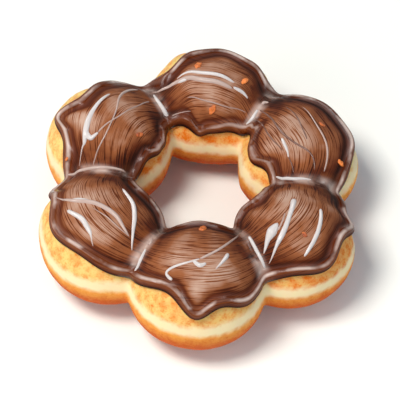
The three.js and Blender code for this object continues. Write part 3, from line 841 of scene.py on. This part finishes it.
fleck_tree, given = start_tree(
    "crust flecks",
    {"Places": "Geometry", "Seed": "Int", "Material": "Material"},
    {"Geometry": "Geometry"},
)
flat = add(fleck_tree, "ShaderNodeSeparateXYZ", [add(fleck_tree, POSITION)]).outputs
coat = add(fleck_tree, GROUP, [flat["X"], flat["Y"]], node_tree=coat_lift).outputs
skin = add(fleck_tree, GROUP, [flat["X"], flat["Y"], ICING_NECK, ICING_SHARPNESS, coat["Lift"]],
           node_tree=ring_point)
lean_cosine = add(fleck_tree, MATH, [flat["Y"]], operation="COSINE")
facing = add(fleck_tree, "ShaderNodeCombineXYZ", [
    add(fleck_tree, MATH, [lean_cosine, add(fleck_tree, MATH, [flat["X"]], operation="COSINE")],
        operation="MULTIPLY"),
    add(fleck_tree, MATH, [lean_cosine, add(fleck_tree, MATH, [flat["X"]], operation="SINE")],
        operation="MULTIPLY"),
    add(fleck_tree, MATH, [flat["Y"]], operation="SINE"),
])
faced = add(fleck_tree, STORE, {
    "Geometry": given["Places"], "Name": "facing", "Value": facing,
}, data_type="FLOAT_VECTOR", domain="POINT")
laid = add(fleck_tree, SET_POSITION, {"Geometry": faced, "Position": skin})
stone = add(fleck_tree, "GeometryNodeMeshIcoSphere", {"Radius": MM, "Subdivisions": 3})
upward = add(fleck_tree, "GeometryNodeInputNamedAttribute", {"Name": "facing"}, data_type="FLOAT_VECTOR")
standing = add(fleck_tree, "FunctionNodeAlignRotationToVector", {"Vector": upward}, axis="Z")
spin = add(fleck_tree, "FunctionNodeRandomValue", {"Max": (0.0, 0.0, math.tau), "Seed": given["Seed"]},
           data_type="FLOAT_VECTOR")
turned = add(fleck_tree, "FunctionNodeRotateRotation", {
    "Rotation": standing, "Rotate By": spin,
}, rotation_space="LOCAL")
size = add(fleck_tree, "GeometryNodeInputNamedAttribute", {"Name": "size"}, data_type="FLOAT")
bits = add(fleck_tree, "GeometryNodeInstanceOnPoints", {
    "Points": laid,
    "Instance": stone,
    "Rotation": turned,
    "Scale": add(fleck_tree, VECTOR_MATH, {0: FLECK_PROPORTIONS, "Scale": size}, operation="SCALE"),
})
real = add(fleck_tree, "GeometryNodeRealizeInstances", [bits])
crags = add(fleck_tree, NOISE, {
    "Vector": add(fleck_tree, POSITION), "Scale": 1 / (CRAG_SIZE * MM), "Detail": 2.0,
})
crag = add(fleck_tree, MATH, [crags, 0.5], operation="SUBTRACT")
outward = add(fleck_tree, VECTOR_MATH, {
    0: add(fleck_tree, "GeometryNodeInputNormal"),
    "Scale": add(fleck_tree, MATH, [crag, CRAG_HEIGHT * MM], operation="MULTIPLY"),
}, operation="SCALE")
craggy = add(fleck_tree, SET_POSITION, {"Geometry": real, "Offset": outward})
add(fleck_tree, "NodeGroupOutput", [
    add(fleck_tree, "GeometryNodeSetMaterial", {"Geometry": craggy, "Material": given["Material"]}),
])

# Toasted crumb: a dry, rough bit of crust, glazed thinly by the icing round it.
CRUMB_ORANGE = "#E07A30"
CRUMB_BROWN = "#8C3A18"
CRUMB_SPOTS_PER_MM = 1.2

crumb, tree = start_material("toasted_crumb")
coords = add(tree, "ShaderNodeTexCoord")
crumb_place = add(tree, VECTOR_MATH, {0: coords.outputs["Object"], "Scale": 1 / MM}, operation="SCALE")
crumb_tone = add(tree, NOISE, {"Vector": crumb_place, "Scale": CRUMB_SPOTS_PER_MM, "Detail": 2.0})
crumb_spots = add(tree, MAP_RANGE, [crumb_tone, 0.35, 0.65, -0.3, 0.3])
orange = add(tree, "ShaderNodeAttribute", attribute_name="orange").outputs["Fac"]
crumb_share = add(tree, MATH, [orange, crumb_spots], operation="ADD")
crumb_colour = add(tree, MIX, {0: crumb_share, 6: linear(CRUMB_BROWN), 7: linear(CRUMB_ORANGE)},
                   data_type="RGBA").outputs[2]
crumb_shader = add(tree, "ShaderNodeBsdfPrincipled", {"Base Color": crumb_colour, "Roughness": 0.55})
add(tree, "ShaderNodeOutputMaterial", [crumb_shader])

fleck_places = bpy.data.meshes.new("fleck_places")
fleck_points = [(math.radians(turn), math.radians(lean), 0.0) for turn, lean, _, _ in FLECKS]
fleck_places.from_pydata(fleck_points, [], [])
for attribute, column in (("size", 2), ("orange", 3)):
    values = [fleck[column] for fleck in FLECKS]
    fleck_places.attributes.new(attribute, "FLOAT", "POINT").data.foreach_set("value", values)

flecks = finish_piece("flecks", fleck_tree, {"Seed": FLECK_SEED, "Material": crumb}, fleck_places)
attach(flecks, "root")

# Table, light and camera
# A pale matt table top, soft lamps that light the scene without showing in the gloss, soft boxes that show
# only in the gloss, and a camera at the height and side from which the doughnut is seen.
TABLE_HALF_SIZE = 3.0
TABLE_CREAM = "#EEEEEA"
STUDIO_SKY = "#D2E8F6"
SKY_STRENGTH = 0.4

table_top, tree = start_material("matt_cream_table")
table_shader = add(tree, "ShaderNodeBsdfPrincipled", {"Base Color": linear(TABLE_CREAM), "Roughness": 0.9})
add(tree, "ShaderNodeOutputMaterial", [table_shader])
table_mesh = bpy.data.meshes.new("table")
table_mesh.from_pydata(
    [(x * TABLE_HALF_SIZE, y * TABLE_HALF_SIZE, 0.0) for x, y in ((-1, -1), (1, -1), (1, 1), (-1, 1))],
    [], [(0, 1, 2, 3)])
table_mesh.materials.append(table_top)
table = bpy.data.objects.new("table", table_mesh)
bpy.context.scene.collection.objects.link(table)

world = bpy.data.worlds.new("studio")
world.use_nodes = True
sky = world.node_tree.nodes["Background"].inputs
sky["Color"].default_value = linear(STUDIO_SKY)
sky["Strength"].default_value = SKY_STRENGTH
world.cycles_visibility.glossy = False
bpy.context.scene.world = world


def look_at(target, eye):
    """The matrix that puts a lamp or camera at eye, facing target."""
    facing = (target - eye).to_track_quat("-Z", "Y")
    return Matrix.Translation(eye) @ facing.to_matrix().to_4x4()


LAMPS = {
    # place, width and height in metres, watts, colour, and whether it lights the scene or is only mirrored
    "key_left": ((-0.27, -0.12, 0.74), 0.26, 0.26, 6.2, "#FFFAF2", True),
    "fill_left": ((-0.60, -0.50, 0.42), 0.60, 0.40, 1.4, "#FFFAF2", True),
    "fill_front": ((0.05, -0.85, 0.45), 0.60, 0.40, 1.5, "#F8FAFF", True),
    "fill_right": ((0.60, -0.20, 0.50), 0.60, 0.60, 0.6, "#F8FAFF", True),
    "left_box": ((-0.72, 0.16, 0.50), 0.60, 0.14, 3.2, "#FFFFFF", False),
    "top_box": ((-0.17, -0.30, 0.80), 0.40, 0.14, 3.2, "#FFFFFF", False),
    "right_box": ((0.70, 0.12, 0.55), 0.50, 0.14, 2.0, "#FFFFFF", False),
    "back_box": ((-0.03, 0.58, 0.68), 0.80, 0.20, 3.6, "#FFFFFF", False),
}
AIM_HEIGHT = 14.0
middle = Vector((0.0, 0.0, AIM_HEIGHT)) * MM
for name, (eye, width, height, watts, colour, lights) in LAMPS.items():
    lamp = bpy.data.lights.new(name, "AREA")
    lamp.shape = "RECTANGLE"
    lamp.size = width
    lamp.size_y = height
    lamp.energy = watts
    lamp.color = linear(colour)[:3]
    holder = bpy.data.objects.new(name, lamp)
    holder.visible_diffuse = lights
    holder.visible_glossy = not lights
    holder.matrix_world = look_at(middle, Vector(eye))
    bpy.context.scene.collection.objects.link(holder)

# Angles are in degrees, and the aim pixel is where the middle of the ring lies in the picture.
CAMERA_AZIMUTH = 3.175
CAMERA_ELEVATION = 54.66
CAMERA_DISTANCE = 682.0
PIXELS_PER_MM = 3.958
PICTURE_SIZE = 400
AIM_PIXEL = (204.25, 196.1)
SENSOR_WIDTH = 36.0
azimuth = math.radians(CAMERA_AZIMUTH)
elevation = math.radians(CAMERA_ELEVATION)
towards = Vector((
    math.sin(azimuth) * math.cos(elevation), -math.cos(azimuth) * math.cos(elevation), math.sin(elevation)))
rightward = Vector((math.cos(azimuth), math.sin(azimuth), 0.0))
upward = towards.cross(rightward)
off_right = (AIM_PIXEL[0] - PICTURE_SIZE / 2) / PIXELS_PER_MM
off_up = (PICTURE_SIZE / 2 - AIM_PIXEL[1]) / PIXELS_PER_MM
aim = (Vector(RING_CENTRE) + Vector((0.0, 0.0, AIM_HEIGHT)) - rightward * off_right - upward * off_up) * MM
camera = bpy.data.cameras.new("camera")
camera.sensor_width = SENSOR_WIDTH
camera.lens = SENSOR_WIDTH * CAMERA_DISTANCE * PIXELS_PER_MM / PICTURE_SIZE
camera_holder = bpy.data.objects.new("camera", camera)
camera_holder.matrix_world = look_at(aim, aim + towards * CAMERA_DISTANCE * MM)
bpy.context.scene.collection.objects.link(camera_holder)
bpy.context.scene.camera = camera_holder
bpy.context.scene.view_settings.view_transform = "Standard"

bpy.context.view_layer.update()
